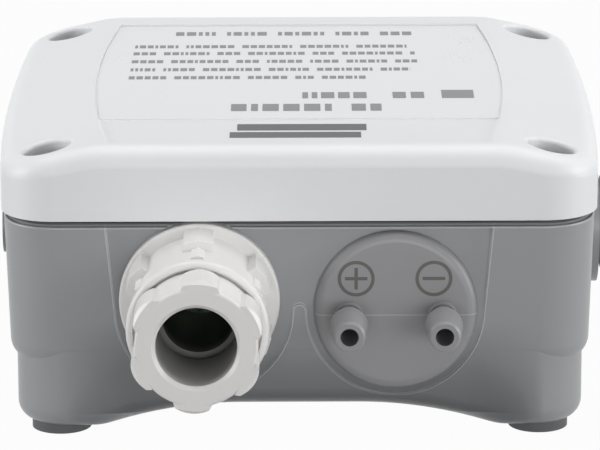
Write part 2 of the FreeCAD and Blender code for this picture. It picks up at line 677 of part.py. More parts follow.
def make_gland_seal():
    body = new_body("gland_seal")
    pad(body, "sleeve", "seal_start", "nut_shoulder",
        several(circle("0", "0", "seal_outer"), circle("0", "0", "nut_bore")))
    face_forward(body, "-gland_across", "gland_height")
    return body


def make_gland_nut():
    body = new_body("gland_nut")
    inner = "(spigot_radius + thread_play)"
    turned(body, "turned", outline(
        (inner, "nut_start"), ("nut_valley", "nut_start"),
        ("nut_valley", "nut_end - nut_edge", "nut_edge", 1), ("nut_valley - nut_edge", "nut_end"),
        ("nut_bore + nut_mouth", "nut_end"), ("nut_bore", "nut_end - nut_mouth"),
        ("nut_bore", "nut_shoulder"), (inner, "nut_shoulder")))
    foot, shoulder = "(lobe_width / 2 + lobe_slope)", "nut_reach - lobe_side"
    root = f"(({inner} + nut_valley) / 2)"
    lobe = pad(body, "lobe", "lobe_start", "nut_end", outline(
        (f"-{foot}", root), (foot, root),
        ("lobe_width / 2", shoulder, "lobe_crown", 1), ("-lobe_width / 2", shoulder)))
    repeat(body, lobe, 6, "lobes")
    far = "(nut_reach + nut_edge)"
    turned(body, "front_bevel", outline(
        ("nut_reach - nut_edge", "nut_end"), (far, "nut_end - 2 * nut_edge"),
        (far, "nut_end")), "PartDesign::Groove")
    face_forward(body, "-gland_across", "gland_height", NUT_SPIN)
    return body


# ---------------------------------------------------------------- port plate

def make_port_plate():
    body = new_body("port_plate")
    turned(body, "turned", outline(
        ("0", "-plate_tail"), ("plate_thread_radius", "-plate_tail"),
        ("plate_thread_radius", "0"), ("plate_radius", "0"),
        ("plate_radius", "plate_thickness - plate_round", "plate_round", 1),
        ("plate_radius - plate_round", "plate_thickness"), ("0", "plate_thickness")))
    for side, sign in (("plus", "-"), ("minus", "")):
        at, drop = f"{sign}barb_spacing / 2", "-barb_drop"

        def ring(radius):
            return circle(at, drop, radius)
        land_end = "barb_ridge + barb_land"
        pad(body, side + "_collar", "plate_thickness", "barb_collar_end",
            ring("barb_collar_radius"))
        pad(body, side + "_neck", "barb_collar_end", "barb_neck_end",
            ring("barb_neck_radius"))
        loft(body, side + "_flare", "barb_neck_end", ring("barb_flare_radius"),
             "barb_ridge", ring("barb_ridge_radius"))
        pad(body, side + "_land", "barb_ridge", land_end, ring("barb_ridge_radius"))
        loft(body, side + "_taper", land_end, ring("barb_ridge_radius"),
             "barb_tip - barb_tip_edge", ring("barb_tip_radius"))
        loft(body, side + "_tip", "barb_tip - barb_tip_edge", ring("barb_tip_radius"),
             "barb_tip", ring("barb_tip_radius - barb_tip_edge"))
        pad(body, side + "_nipple", "-inner_barb_end", "-plate_tail",
            ring("inner_barb_radius"))
        pocket(body, side + "_bore", "-inner_barb_end", "barb_tip", ring("barb_bore"))
    face_forward(body, "plate_across", "plate_height")
    return body


def make_plate_nut():
    body = new_body("port_plate_nut")
    wall = "(cavity_half_depth - recess_plane)"
    pad(body, "nut", f"{wall} - plate_nut_thickness", wall, several(
        circle("0", "0", "plate_nut_radius"),
        circle("0", "0", "plate_thread_radius + seal_play")))
    face_forward(body, "plate_across", "plate_height")
    return body


# -------------------------------------------------------------- side fitting

def make_side_plug():
    body = new_body("side_plug")
    head = "(plug_ring_thickness + plug_head_thickness)"
    turned(body, "turned", outline(
        ("0", "cavity_half_width - plug_pad_reach - plug_tail"),
        ("plug_thread_radius", "cavity_half_width - plug_pad_reach - plug_tail"),
        ("plug_thread_radius", "plug_ring_thickness"),
        ("plug_head_radius", "plug_ring_thickness"),
        ("plug_head_radius", f"{head} - plug_head_round", "plug_head_round", 1),
        ("plug_head_radius - plug_head_round", head), ("0", head)))
    place(body, "plug_pad_reach", "0", "plug_height", (0, 1, 0), 90)
    return body


def make_plug_ring():
    body = new_body("side_plug_seal")
    pad(body, "ring", "0", "plug_ring_thickness",
        several(circle("0", "0", "plug_ring_radius"),
                circle("0", "0", "plug_thread_radius + seal_play")))
    place(body, "plug_pad_reach", "0", "plug_height", (0, 1, 0), 90)
    return body


def make_plug_nut():
    body = new_body("side_plug_nut")
    wall = "(cavity_half_width - plug_pad_reach - washer_play)"
    pad(body, "nut", f"{wall} - plug_nut_thickness", wall, several(
        hexagon("plug_nut_flats"), circle("0", "0", "plug_thread_radius + seal_play")))
    place(body, "plug_pad_reach", "0", "plug_height", (0, 1, 0), 90)
    return body


# -------------------------------------------------------- board and its load

def box_on_board(body, name, low, high, x, y, half_x, half_y):
    """Block standing on the board, centred on x and y, between two heights above it."""
    return pad(body, name, f"board_top + {low}", f"board_top + {high}", rectangle(
        f"{x} - {half_x}", f"{y} - {half_y}", f"{x} + {half_x}", f"{y} + {half_y}"))


def make_circuit_board():
    body = new_body("circuit_board")
    pad(body, "panel", "board_bottom", "board_top", several(
        rectangle("-board_half_width", "board_front", "board_half_width", "board_back"),
        posts("board_screw_radius + hole_play")))
    return body


def make_board_screws():
    body = new_body("board_screws")
    top = "board_top + board_head_height"
    pad(body, "shanks", "board_top - board_screw_length", "board_top",
        posts("board_screw_radius"))
    pad(body, "heads", "board_top", top, posts("board_head_radius"))
    half, reach = "screw_slot_width / 2", "board_slot_reach"
    pocket(body, "slots", f"{top} - board_head_height / 2", top, several(*[
        rectangle(f"{x} - {reach}", f"{y} - {half}", f"{x} + {reach}", f"{y} + {half}")
        for x in ("post_across", "-post_across") for y in ("post_front", "post_back")]))
    return body


TERMINALS = 4
TERMINAL_END = f"(terminal_left + {TERMINALS} * terminal_pitch)"
TERMINAL_ROW = [f"(terminal_left + {n + 0.5} * terminal_pitch)" for n in range(TERMINALS)]
TERMINAL_AXIS = "(terminal_front + terminal_depth / 2)"


def row_of_boxes(half, low, high):
    """One rectangle for each terminal, in a plane that faces along the board."""
    return several(*[rectangle(f"{x} - {half}", low, f"{x} + {half}", high)
                     for x in TERMINAL_ROW])


def make_terminal_block():
    body = new_body("terminal_block")
    top = "(board_top + terminal_height)"
    back = "(terminal_front + terminal_depth)"
    pad(body, "block", "terminal_left", TERMINAL_END, outline(
        ("terminal_front", "board_top"), (back, "board_top"),
        (back, f"{top} - terminal_bevel_drop"), (f"{back} - terminal_bevel", top),
        ("terminal_front + terminal_bevel", top),
        ("terminal_front", f"{top} - terminal_bevel_drop")), "YZ_Plane")
    pocket(body, "wire_entries", "-(terminal_front + entry_depth)", "-terminal_front",
           row_of_boxes("entry_half_width", "board_top + entry_low",
                        "board_top + entry_high"), "XZ_Plane")
    pocket(body, "screw_wells", "board_top + entry_high", top, several(*[
        circle(x, TERMINAL_AXIS, "terminal_screw_radius + hole_play") for x in TERMINAL_ROW]))
    return body


def make_terminal_screws():
    body = new_body("terminal_screws")
    high = "(board_top + terminal_height - terminal_screw_sink)"
    pad(body, "screws", "board_top + terminal_screw_low", high, several(*[
        circle(x, TERMINAL_AXIS, "terminal_screw_radius") for x in TERMINAL_ROW]))
    pocket(body, "slots", f"{high} - terminal_slot_depth", high, row_of_boxes(
        "terminal_screw_radius", f"{TERMINAL_AXIS} - terminal_slot / 2",
        f"{TERMINAL_AXIS} + terminal_slot / 2"))
    return body


def make_terminal_clamps():
    body = new_body("terminal_clamps")
    pad(body, "cages", "board_top + clamp_low", "board_top + clamp_high", row_of_boxes(
        "clamp_half_width", f"{TERMINAL_AXIS} - clamp_half_depth",
        f"{TERMINAL_AXIS} + clamp_half_depth"))
    pocket(body, "wire_holes", f"-({TERMINAL_AXIS} + clamp_half_depth)",
           f"-({TERMINAL_AXIS} - clamp_half_depth)",
           row_of_boxes("wire_half_width", "board_top + wire_low", "board_top + wire_high"),
           "XZ_Plane")
    return body


PORTS = [("plus", "(plate_across - barb_spacing / 2)"),
         ("minus", "(plate_across + barb_spacing / 2)")]
PORT_HEIGHT = "(plate_height - barb_drop)"


def make_pressure_sensor():
    body = new_body("pressure_sensor")
    top = "board_top + sensor_height"
    pad(body, "housing", "board_top", top, rectangle(
        "plate_across - sensor_half_width", "sensor_front",
        "plate_across + sensor_half_width", "sensor_front + sensor_depth"))
    pad(body, "cap", top, f"{top} + sensor_cap_height",
        circle("plate_across", "sensor_front + sensor_depth / 2", "sensor_cap_radius"))
    pad(body, "ports", "-sensor_front", "sensor_port_reach - sensor_front", several(*[
        circle(x, PORT_HEIGHT, "sensor_port_radius") for _, x in PORTS]), "XZ_Plane")
    pocket(body, "bores", "-(sensor_front + sensor_port_sink)",
           "sensor_port_reach - sensor_front", several(*[
               circle(x, PORT_HEIGHT, "barb_bore") for _, x in PORTS]), "XZ_Plane")
    return body


def make_tube(side, x):
    body = new_body(side + "_tube")
    pad(body, "tube", "tube_overlap - sensor_front", "recess_plane - tube_start", several(
        circle(x, PORT_HEIGHT, "tube_outer"), circle(x, PORT_HEIGHT, "tube_inner")),
        "XZ_Plane")
    return body


def make_zero_button():
    body = new_body("zero_button_body")
    box_on_board(body, "case", "0", "button_height", "button_across", "button_along",
                 "button_half", "button_half")
    pocket(body, "well", "board_top + plunger_low - plunger_travel - plunger_gap",
           "board_top + button_height",
           circle("button_across", "button_along", "plunger_radius + thread_play"))
    plunger = new_body("zero_button_plunger")
    pad(plunger, "stem", "board_top + plunger_low", "board_top + plunger_high",
        circle("button_across", "button_along", "plunger_radius"))
    round_edges(plunger, "tip", "plunger_round", at_level("board_top + plunger_high"))


def header_pin(column, row):
    """Middle of one pin of the header."""
    return (f"(header_across + {column - 1} * header_pitch)",
            f"(header_along + {row - 0.5} * header_pitch)")


def pin_squares(pins, play="0"):
    half = f"(pin_half + {play})"
    return several(*[rectangle(f"{x} - {half}", f"{y} - {half}", f"{x} + {half}", f"{y} + {half}")
                     for x, y in pins])


def make_range_header():
    body = new_body("range_header")
    pins = [header_pin(column, row) for column in range(3) for row in range(2)]
    box_on_board(body, "carrier", "0", "header_height", "header_across", "header_along",
                 "1.5 * header_pitch", "header_pitch")
    pad(body, "pins", "board_top + header_height", "board_top + pin_height",
        pin_squares(pins))
    cap = new_body("range_jumper")
    box_on_board(cap, "cap", "header_height", "header_height + jumper_height", pins[0][0],
                 "header_along", "(header_pitch / 2 - jumper_gap)",
                 "(header_pitch - jumper_gap)")
    pocket(cap, "sockets", "board_top + header_height", "board_top + pin_height",
           pin_squares(pins[:2], "seal_play"))


def make_capacitor(name, number):
    body = new_body(name)
    rim, bead = "capacitor_radius", "(capacitor_radius - capacitor_bead)"
    turned(body, "can", outline(
        ("0", "0"), (rim, "0"), (rim, "capacitor_bead_low"),
        (bead, "capacitor_bead_low + capacitor_bead"),
        (rim, "capacitor_bead_low + 2 * capacitor_bead"),
        (rim, "capacitor_height - capacitor_edge"),
        ("capacitor_radius - capacitor_edge", "capacitor_height"), ("0", "capacitor_height")))
    place(body, "capacitor_across", f"capacitor_along + {number} * capacitor_spacing",
          "board_top")


def make_controller_chip():
    body = new_body("controller_chip")
    box_on_board(body, "package", "chip_gap", "chip_height", "0", "0", "chip_half", "chip_half")
    toe, heel = "(chip_half + lead_reach)", "(chip_half + lead_bend)"
    thin, root = "board_top + lead_thickness", "board_top + lead_root"
    lead = pad(body, "lead", "3 * lead_pitch - lead_width / 2",
               "3 * lead_pitch + lead_width / 2", outline(
                   ("-" + toe, "board_top"), (toe, "board_top"), (toe, thin), (heel, thin),
                   (heel, root), ("-" + heel, root), ("-" + heel, thin), ("-" + toe, thin)),
               "XZ_Plane")
    row = body.newObject("PartDesign::LinearPattern", "leads")
    row.Originals = [lead]
    row.Direction = (next(o for o in body.Origin.OriginFeatures if o.Role == "Y_Axis"), [""])
    row.setExpression("Length", dims("6 * lead_pitch"))
    row.Occurrences = 7
    body.Tip = row
    doc.recompute()
    place(body, "chip_across", "chip_along", "0")


def make_regulator():
    body = new_body("voltage_regulator")
    box_on_board(body, "package", "0", "regulator_height", "regulator_across",
                 "regulator_along", "regulator_half", "(regulator_half - tab_inset)")
    box_on_board(body, "tab", "0", "tab_thickness", "regulator_across",
                 "(regulator_along + regulator_half)", "(regulator_half - tab_inset)",
                 "tab_reach")


def make_status_lamp():
    body = new_body("status_lamp")
    turned(body, "dome", outline(
        ("0", "0"), ("lamp_radius + lamp_flange", "0"),
        ("lamp_radius + lamp_flange", "lamp_flange_height"),
        ("lamp_radius", "lamp_flange_height"),
        ("lamp_radius", "lamp_height - lamp_radius", "lamp_radius", 1),
        ("0", "lamp_height")))
    place(body, "lamp_across", "lamp_along", "board_top")


make_base()
for side, x in (("left", "-foot_across"), ("right", "foot_across")):
    for end, y in (("front", "-foot_along"), ("back", "foot_along")):
        make_foot(f"foot_pad_{end}_{side}", x, y)
make_lid()
make_film()
make_gasket()
make_lid_screws()
make_gland_body()
make_gland_washer()
make_gland_locknut()
make_gland_seal()
make_gland_nut()
make_port_plate()
make_plate_nut()
make_side_plug()
make_plug_ring()
make_plug_nut()
make_circuit_board()
make_board_screws()
make_terminal_block()
make_terminal_screws()
make_terminal_clamps()
make_pressure_sensor()
for side, x in PORTS:
    make_tube(side, x)
make_zero_button()
make_range_header()
make_capacitor("filter_capacitor", 0)
make_capacitor("supply_capacitor", 1)
make_controller_chip()
make_regulator()
make_status_lamp()

# ------------------------------------------------------------------- export

doc.recompute()
for item in doc.Objects:
    if "Invalid" in item.State or "Error" in item.State:
        raise RuntimeError(f"{item.Label} has state {item.State}")

os.makedirs("parts", exist_ok=True)
for item in doc.Objects:
    if item.TypeId != "PartDesign::Body":
        continue
    if item.Shape.isNull() or not item.Shape.isValid():
        raise RuntimeError(f"{item.Label} has no valid shape")
    item.Shape.exportStep(f"parts/{item.Label}.step")
    print(f"{item.Label}: {len(item.Shape.Solids)} solid(s), {item.Shape.Volume:.0f} mm3")
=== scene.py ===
# %% [markdown]
# # A differential pressure transmitter
# A small wall housing with a white lid, a grey base, a nylon cable gland and a plate
# with two hose barbs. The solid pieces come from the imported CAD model, at their real
# size and place. This script gives them their finish, adds the print on the film and
# the two pressure signs, and sets up the light and the camera.

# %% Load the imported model
import math
import random

import bmesh
import bpy
from mathutils import Matrix, Quaternion, Vector


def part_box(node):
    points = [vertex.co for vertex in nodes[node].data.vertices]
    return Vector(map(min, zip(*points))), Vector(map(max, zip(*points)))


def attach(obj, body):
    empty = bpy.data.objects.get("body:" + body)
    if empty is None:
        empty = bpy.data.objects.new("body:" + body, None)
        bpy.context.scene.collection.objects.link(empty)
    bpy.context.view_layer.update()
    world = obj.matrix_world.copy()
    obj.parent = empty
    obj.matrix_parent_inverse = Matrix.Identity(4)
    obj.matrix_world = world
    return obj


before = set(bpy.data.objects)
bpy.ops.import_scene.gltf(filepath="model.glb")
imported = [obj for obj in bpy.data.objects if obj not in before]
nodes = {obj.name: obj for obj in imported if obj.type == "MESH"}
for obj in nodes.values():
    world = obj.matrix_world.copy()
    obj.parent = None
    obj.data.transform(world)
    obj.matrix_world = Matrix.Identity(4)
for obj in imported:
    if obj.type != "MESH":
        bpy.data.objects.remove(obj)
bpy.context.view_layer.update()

MM = 0.001

# %% [markdown]
# ## Shader maths as plain expressions
# A material is a graph of nodes, and a graph is hard to read as code. `Wire` wraps one
# output of one node, so that `1 - grain * 0.4` adds the Math nodes by itself.

# %% A wrapped socket


class Wire:
    """One output socket, with adding, subtracting and multiplying."""

    def __init__(self, finish, socket):
        self.finish = finish
        self.socket = socket

    def maths(self, operation, first, second):
        """A Math node between two values or wires."""
        return self.finish.node("Math", {"operation": operation}, {0: first, 1: second})

    def __add__(self, other):
        return self.maths("ADD", self, other)

    def __sub__(self, other):
        return self.maths("SUBTRACT", self, other)

    def __mul__(self, other):
        return self.maths("MULTIPLY", self, other)

    def __rsub__(self, other):
        return self.maths("SUBTRACT", other, self)

    def size(self):
        """The value without its sign."""
        return self.finish.node("Math", {"operation": "ABSOLUTE"}, {0: self})

    __radd__ = __add__
    __rmul__ = __mul__


print("a wire knows + - * and size")

# %% [markdown]
# ## One material in the making
# `Finish` holds one material. Its method `node` adds any node, with the node's settings
# first and the values or links of its sockets after them. The other methods name the
# few groups of nodes that come up again and again: where a point is, noise, a soft
# step, a mix of two colours and a bump.

# %% A material with its helpers


class Finish:
    """A material with one Principled shader."""

    def __init__(self, name, color, roughness, **constants):
        self.material = bpy.data.materials.new(name)
        self.material.use_nodes = True
        self.tree = self.material.node_tree
        self.shader = self.tree.nodes["Principled BSDF"]
        self.set("Base Color", (*color, 1.0))
        self.set("Roughness", roughness)
        for socket, value in constants.items():
            self.set(socket.replace("_", " "), value)

    def node(self, kind, settings, inputs, output=0):
        """Add a node and wrap one of its outputs."""
        made = self.tree.nodes.new("ShaderNode" + kind)
        for name, value in settings.items():
            setattr(made, name, value)
        for socket, value in inputs.items():
            self.feed(made.inputs[socket], value)
        return Wire(self, made.outputs[output])

    def feed(self, socket, value):
        """Link a wire to a socket, or set its value."""
        if isinstance(value, Wire):
            self.tree.links.new(value.socket, socket)
        else:
            socket.default_value = value

    def set(self, socket, value):
        """Feed an input of the Principled shader."""
        self.feed(self.shader.inputs[socket], value)

    def place(self):
        """Where a point lies on the object, in metres."""
        return self.node("TexCoord", {}, {}, "Object")

    def noise(self, size, detail=2.0, roughness=0.5):
        """Cloudy noise whose grains are about `size` metres across."""
        return self.node("TexNoise", {}, {
            "Vector": self.place(), "Scale": 1 / size, "Detail": detail,
            "Roughness": roughness}, "Fac")

    def axes(self):
        """The three coordinates of a point on the object, in metres."""
        place = self.place()
        return [self.node("SeparateXYZ", {}, {0: place}, axis) for axis in "XYZ"]

    def step(self, value, low, high, curve="SMOOTHSTEP"):
        """0 below one value, 1 above another, and a soft step between them."""
        return self.node("MapRange", {"interpolation_type": curve}, {
            "Value": value, "From Min": low, "From Max": high})

    def mix(self, factor, dark, light):
        """Two colours mixed by a factor."""
        made = self.tree.nodes.new("ShaderNodeMix")
        made.data_type = "RGBA"
        self.feed(made.inputs[0], factor)
        for slot, value in ((6, dark), (7, light)):
            self.feed(made.inputs[slot], value if isinstance(value, Wire) else (*value, 1.0))
        return Wire(self, made.outputs[2])

    def bump(self, height, distance, strength=1.0):
        """Turn a height into small tilts of the surface."""
        self.set("Normal", self.node("Bump", {}, {
            "Height": height, "Distance": distance, "Strength": strength}, "Normal"))


def shade(color, amount):
    """A colour made lighter or darker by a share."""
    return tuple(channel * amount for channel in color)


def srgb(red, green, blue):
    """A colour as a painter reads it, from 0 to 255, turned into light."""
    def curve(level):
        level /= 255
        return level / 12.92 if level <= 0.04045 else ((level + 0.055) / 1.055) ** 2.4
    return tuple(curve(level) for level in (red, green, blue))


print("mid grey as light:", round(srgb(128, 128, 128)[0], 3))

# %% [markdown]
# ## Moulded plastics
# The lid, the base and the gland are injection moulded. Such a part is never quite
# flat in colour: it has faint clouds from the flow of the melt, a fine spark-eroded
# grain from the mould, and a few smoother patches. One function makes all of them,
# because only the colour, the grain and the gloss differ. A part may add a `shading`
# of its own, which gets the finish and its colour and gives back a colour, and a
# `form`, a smooth height in metres that is added to the grain.

# %% One recipe for every moulded plastic
CLOUD_SIZE = 18 * MM
CLOUD_GLOSS, GRAIN_GLOSS = 0.08, 0.10


def moulded(name, color, roughness, grain=0.00016, depth=0.000006, cloud=0.03,
            shading=None, form=None, **constants):
    finish = Finish(name, color, roughness, **constants)
    clouds = finish.noise(CLOUD_SIZE, 3.0, 0.55)
    tint = finish.mix(clouds, shade(color, 1 - cloud), shade(color, 1 + cloud))
    finish.set("Base Color", shading(finish, tint) if shading else tint)
    fine = finish.noise(grain, 3.0, 0.6)
    finish.set("Roughness", roughness + (clouds - 0.5) * CLOUD_GLOSS
               + (fine - 0.5) * GRAIN_GLOSS)
    height = fine * depth
    finish.bump(height + form(finish) if form else height, 1.0)
    return finish.material


# %% [markdown]
# ### Colours of the plastics
# The greys lean a little towards blue. The lid is a white that still leaves room for a
# highlight, and the nylon is warmer than the lid. The plug is written much paler than the
# base as painted light, only to lift the edge of it that shows from the front. Seen from the
# side it comes out paler than the base.

# %% Colours
LID_WHITE = srgb(234, 235, 237)
BASE_GREY = srgb(146, 148, 151)
PLATE_GREY = srgb(146, 146, 148)
# Paler than the base as painted light, to lift the plug's front edge.
PLUG_PAINTED_LIGHT_GREY = srgb(196, 197, 200)
NYLON = srgb(231, 230, 228)
# A painted highlight, for the base's edges and the pale line across the plate.
PAINTED_HIGHLIGHT = srgb(206, 207, 209)
# Painted shade: half shade on the rim under the lid, the lid's shadow just above it, and the
# dark inside the bore.
RIM_SHADE_GREY = srgb(84, 85, 86)
SHADE_BLACK = srgb(16, 16, 17)
BORE_BLACK = srgb(9, 9, 9)
print("base grey as light:", [round(channel, 3) for channel in BASE_GREY])

# %% [markdown]
# ### Painted shade and highlights on the base
# Above its ledge the base has a thin rim under the lid. The rim's dark tone is painted shade
# from the lid, so it stays dark when the lid is off. The ledge, and the outline of the
# shallow recess in the front wall, get a painted highlight a little paler than the wall.
# That outline is two round lobes whose outer sides widen upwards.

# %% Heights and outline that the shading follows
LEDGE = 30.65 * MM
SHADE_LINE = 30.90 * MM
EDGE_LINE = 30.40 * MM
BLUR = 0.06 * MM
LOBE_ACROSS, LOBE_HEIGHT, LOBE_RADIUS = 13.2 * MM, 18.5 * MM, 12.3 * MM
LOBE_LEAN = 0.092
SADDLE_RADIUS = 0.9 * MM
FRONT_ONLY = -38.4 * MM
EDGE_WIDTH = 0.20 * MM
RECESS_HIGHLIGHT_SHARE, EDGE_HIGHLIGHT_SHARE, RIM_SHADE_SHARE, SHADE_SHARE = 0.6, 0.45, 0.75, 0.92
print("ledge at", round(LEDGE / MM, 2), "mm")

# %% Painted highlight along the outline of the recess


def line_at(finish, value, place, width):
    """1 where a value is close to a place, and 0 away from it."""
    return 1 - finish.step((value - place).size(), width / 2, width)


def recess_edge(finish):
    """1 along the outline of the recess in the front wall, where a highlight is painted."""
    across, along, height = finish.axes()
    beside, above = across.size() - LOBE_ACROSS, height - LOBE_HEIGHT
    lobe = line_at(finish, beside * beside + above * above, LOBE_RADIUS ** 2,
                   2 * LOBE_RADIUS * EDGE_WIDTH)
    side = line_at(finish, beside - above * LOBE_LEAN,
                   LOBE_RADIUS * math.hypot(1, LOBE_LEAN), EDGE_WIDTH)
    saddle = line_at(finish, across * across + above * above, SADDLE_RADIUS ** 2,
                     2 * SADDLE_RADIUS * EDGE_WIDTH)
    upper = finish.step(above, -BLUR, BLUR)
    front = 1 - finish.step(along, FRONT_ONLY, FRONT_ONLY + BLUR)
    return (lobe * (1 - upper) + (side + saddle) * upper) * front


# %% Base with painted shade on its rim and painted highlights on its edges


def base_shading(finish, tint):
    """The base's colour, with painted shade at its seam and painted highlights on its edges.
    """
    _, _, height = finish.axes()
    above_edge = finish.step(height, EDGE_LINE - BLUR, EDGE_LINE + BLUR)
    above_ledge = finish.step(height, LEDGE - BLUR, LEDGE - BLUR / 4)
    in_shade = finish.step(height, SHADE_LINE, SHADE_LINE + BLUR)
    recess = finish.mix(recess_edge(finish) * RECESS_HIGHLIGHT_SHARE, tint, PAINTED_HIGHLIGHT)
    edge = finish.mix(above_edge * EDGE_HIGHLIGHT_SHARE, recess, PAINTED_HIGHLIGHT)
    ledge = finish.mix(above_ledge * RIM_SHADE_SHARE, edge, RIM_SHADE_GREY)
    return finish.mix(in_shade * SHADE_SHARE, ledge, SHADE_BLACK)


# %% [markdown]
# ### Lower edge of the base
# Between its legs the wall looks as if it turned under towards the arch. That is bump
# alone: the mesh and the solids keep their plain wall. The height falls with the square
# of the way down, so that the turn starts softly. It fades out before the legs, and
# under the base away from the wall, where faint bands can still be seen.

# %% A bump that turns the wall under between the legs
TURN_START, TURN_END = 17.0 * MM, 3.5 * MM
TURN_DEPTH = 10.5 * MM
LEG_START, LEG_END = 23.0 * MM, 34.0 * MM
WALL_START, WALL_END = 22.0 * MM, 36.0 * MM


def turned_under(finish):
    """Height of the bump at a point, in metres. It moves no part of the mesh."""
    across, along, height = finish.axes()
    way = 1 - finish.step(height, TURN_END, TURN_START, "LINEAR")
    clear_of_legs = 1 - finish.step(across.size(), LEG_START, LEG_END)
    near_wall = finish.step(along.size(), WALL_START, WALL_END)
    return way * way * clear_of_legs * near_wall * -TURN_DEPTH


base_plastic = moulded("base_plastic", BASE_GREY, 0.44, shading=base_shading,
                       form=turned_under, Coat_Weight=0.3, Coat_Roughness=0.25)
lid_plastic = moulded("lid_plastic", LID_WHITE, 0.42)
plug_painted_light_plastic = moulded("plug_painted_light_plastic", PLUG_PAINTED_LIGHT_GREY, 0.42)
print("height of the bump under the wall:", round(TURN_DEPTH / MM, 1), "mm")

# %% [markdown]
# ### Port plate
# A fine pale line crosses the plate at the height of the two barbs, like the line that a
# mould leaves. Its paleness is a painted highlight: it is colour alone.

# %% Plate with its painted highlight line
PARTING_LINE = 18.15 * MM
PARTING_WIDTH = 0.10 * MM
FACE_END = -41.0 * MM
PARTING_HIGHLIGHT_SHARE = 0.40


def plate_shading(finish, tint):
    """The plate's colour, with the painted highlight line across it."""
    _, along, height = finish.axes()
    on_plate = finish.step(along, FACE_END, FACE_END + BLUR)
    parting = line_at(finish, height, PARTING_LINE, PARTING_WIDTH) * on_plate
    return finish.mix(parting * PARTING_HIGHLIGHT_SHARE, tint, PAINTED_HIGHLIGHT)


plate_plastic = moulded("plate_plastic", PLATE_GREY, 0.40, shading=plate_shading)
print("parting line at", round(PARTING_LINE / MM, 2), "mm")

# %% [markdown]
# ### Nylon of the gland
# Nylon is a touch warmer and glossier than the lid. The dark of the bore is painted and
# not left to the lamps: the colour falls away behind the mouth and is black behind the
# seal.

# %% Nylon that goes dark inside the bore
GLAND_AXIS = Vector((-13.8, 0, 20.1)) * MM
BORE_REACH = 6.9 * MM
BORE_BLUR = 1.02
MOUTH, BLACK = -60.0 * MM, -44.0 * MM


def bore_shading(finish, tint):
    """The nylon's colour, which falls away inside the bore."""
    across, along, height = finish.axes()
    aside, above = across - GLAND_AXIS.x, height - GLAND_AXIS.z
    inside = 1 - finish.step(aside * aside + above * above, BORE_REACH ** 2,
                             BORE_REACH ** 2 * BORE_BLUR)
    lit = 1 - finish.step(along, MOUTH, BLACK, "LINEAR")
    return finish.mix(inside * (1 - lit), tint, BORE_BLACK)


nylon = moulded("nylon_plastic", NYLON, 0.38, grain=0.0003, depth=0.000008, cloud=0.02,
                shading=bore_shading)
print("moulded plastics:", [m.name for m in (lid_plastic, base_plastic, nylon)])

# %% [markdown]
# ## Rubber, metal and the board
# Rubber is the same recipe with a rougher, duller surface, and the board's lacquer is
# the same recipe with more cloud. Metal is different: all its colour is in its
# reflection, so it gets its life from uneven gloss instead of uneven colour.

# %% Rubber, glass-like pieces and the board
rubber = moulded("black_rubber", srgb(38, 38, 39), 0.62, grain=0.0002, depth=0.00001)
grey_rubber = moulded("grey_rubber", srgb(128, 129, 131), 0.6, grain=0.0002, depth=0.00001)
# The foot pads are a dark rubber grey. Part of that dark is painted shade from under the
# housing.
foot_shade_rubber = moulded("foot_shade_grey_rubber", srgb(84, 85, 87), 0.6, grain=0.0003, depth=0.00001)
silicone = moulded("clear_silicone", srgb(214, 214, 208), 0.3, Transmission_Weight=0.25)
black_plastic = moulded("black_plastic", srgb(34, 34, 36), 0.42)
green_plastic = moulded("green_plastic", srgb(38, 118, 70), 0.40)
film_plastic = moulded("film_plastic", srgb(235, 236, 238), 0.30, grain=0.0004,
                       depth=0.000002, cloud=0.01)
lens_plastic = moulded("lens_plastic", srgb(96, 190, 92), 0.18, Transmission_Weight=0.5)
board_coat = moulded("board_coat", srgb(20, 92, 52), 0.28, grain=0.0008, depth=0.00001,
                     cloud=0.12)


# %% Metals
STREAK_SIZE, STREAK_DEPTH = 0.6 * MM, 0.006 * MM
STREAK_GLOSS = 0.2


def brushed(name, color, roughness):
    """A metal with fine streaks."""
    finish = Finish(name, color, roughness, Metallic=1.0)
    streaks = finish.noise(STREAK_SIZE, 4.0, 0.7)
    finish.set("Roughness", roughness + (streaks - 0.5) * STREAK_GLOSS)
    finish.bump(streaks, STREAK_DEPTH)
    return finish.material


steel = brushed("zinc_steel", srgb(150, 151, 153), 0.36)
clamp_metal = brushed("clamp_metal", srgb(206, 198, 176), 0.35)
can_metal = brushed("can_metal", srgb(156, 158, 162), 0.34)

print("metals:", [m.name for m in (steel, clamp_metal, can_metal)])

# %% [markdown]
# ## A finish for every piece
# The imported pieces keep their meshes. Each one only swaps its plain material for one
# of the finishes above, found by the piece's name.

# %% Give each CAD node its finish
FINISHES = {
    "lid": lid_plastic, "base_housing": base_plastic, "side_plug": plug_painted_light_plastic,
    "port_plate": plate_plastic, "port_plate_nut": plate_plastic,
    "side_plug_nut": plate_plastic, "label_film": film_plastic,
    "gland_body": nylon, "gland_nut": nylon, "gland_seal": nylon, "gland_locknut": nylon,
    "lid_gasket": rubber, "gland_washer": rubber, "side_plug_seal": grey_rubber,
    "lid_screws": steel, "board_screws": steel, "terminal_screws": steel,
    "terminal_clamps": clamp_metal, "circuit_board": board_coat,
    "terminal_block": green_plastic, "pressure_sensor": black_plastic,
    "plus_tube": silicone, "minus_tube": silicone, "zero_button_body": black_plastic,
    "zero_button_plunger": black_plastic, "range_header": black_plastic,
    "range_jumper": black_plastic, "filter_capacitor": can_metal,
    "supply_capacitor": can_metal, "controller_chip": black_plastic,
    "voltage_regulator": black_plastic, "status_lamp": lens_plastic,
}
for name, thing in nodes.items():
    finish = foot_shade_rubber if name.startswith("foot_pad") else FINISHES[name]
    thing.data.materials.clear()
    thing.data.materials.append(finish)
print("finished nodes:", len(nodes))

